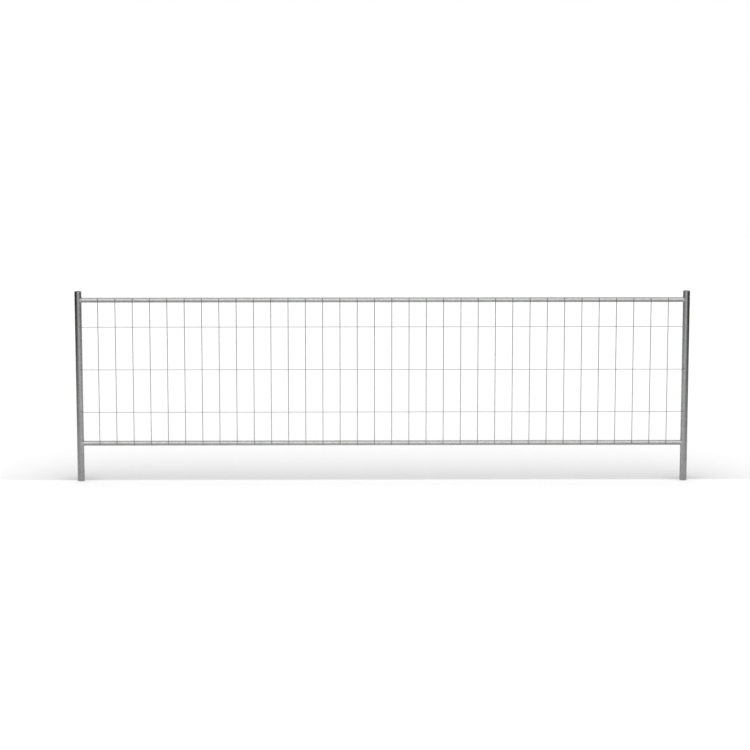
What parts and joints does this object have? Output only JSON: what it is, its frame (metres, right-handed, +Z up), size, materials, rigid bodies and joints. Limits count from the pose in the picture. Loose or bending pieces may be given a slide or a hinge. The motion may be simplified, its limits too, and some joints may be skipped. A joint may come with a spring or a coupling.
{
  "type": "crowd control barrier",
  "caption": "Low free-standing barrier panel of galvanised steel: two round posts, a top and a bottom rail, and an open welded wire mesh between them.",
  "frame": {"origin": "on the ground, midway between the axes of the two posts", "axes": "+Z up, +X along the panel towards the right post, -Y the front, where the wires are welded on"},
  "size_m": [3.5, 0.043, 1.1],
  "materials": {
    "post_tube": "galvanised steel tube, smooth, mild gloss",
    "cap_plate": "galvanised steel plate, edge ground round",
    "rail_tube": "galvanised steel tube, smooth, mild gloss",
    "fillet_weld": "rippled weld metal under zinc",
    "upright_wire": "galvanised drawn steel wire",
    "cross_wire": "galvanised drawn steel wire"
  },
  "bodies": {
    "root": {"left_post": "post_tube", "right_post": "post_tube", "left_post_cap": "cap_plate", "right_post_cap": "cap_plate", "top_rail": "rail_tube", "bottom_rail": "rail_tube", "top_left_weld": "fillet_weld", "top_right_weld": "fillet_weld", "bottom_left_weld": "fillet_weld", "bottom_right_weld": "fillet_weld", "upper_cross_wire": "cross_wire", "middle_cross_wire": "cross_wire", "lower_cross_wire": "cross_wire", "upright_wire_01": "upright_wire", "upright_wire_02": "upright_wire", "upright_wire_03": "upright_wire", "upright_wire_04": "upright_wire", "upright_wire_05": "upright_wire", "upright_wire_06": "upright_wire", "upright_wire_07": "upright_wire", "upright_wire_08": "upright_wire", "upright_wire_09": "upright_wire", "upright_wire_10": "upright_wire", "upright_wire_11": "upright_wire", "upright_wire_12": "upright_wire", "upright_wire_13": "upright_wire", "upright_wire_14": "upright_wire", "upright_wire_15": "upright_wire", "upright_wire_16": "upright_wire", "upright_wire_17": "upright_wire", "upright_wire_18": "upright_wire", "upright_wire_19": "upright_wire", "upright_wire_20": "upright_wire", "upright_wire_21": "upright_wire", "upright_wire_22": "upright_wire", "upright_wire_23": "upright_wire", "upright_wire_24": "upright_wire", "upright_wire_25": "upright_wire", "upright_wire_26": "upright_wire", "upright_wire_27": "upright_wire", "upright_wire_28": "upright_wire", "upright_wire_29": "upright_wire", "upright_wire_30": "upright_wire", "upright_wire_31": "upright_wire", "upright_wire_32": "upright_wire", "upright_wire_33": "upright_wire", "upright_wire_34": "upright_wire"}
  },
  "joints": []
}
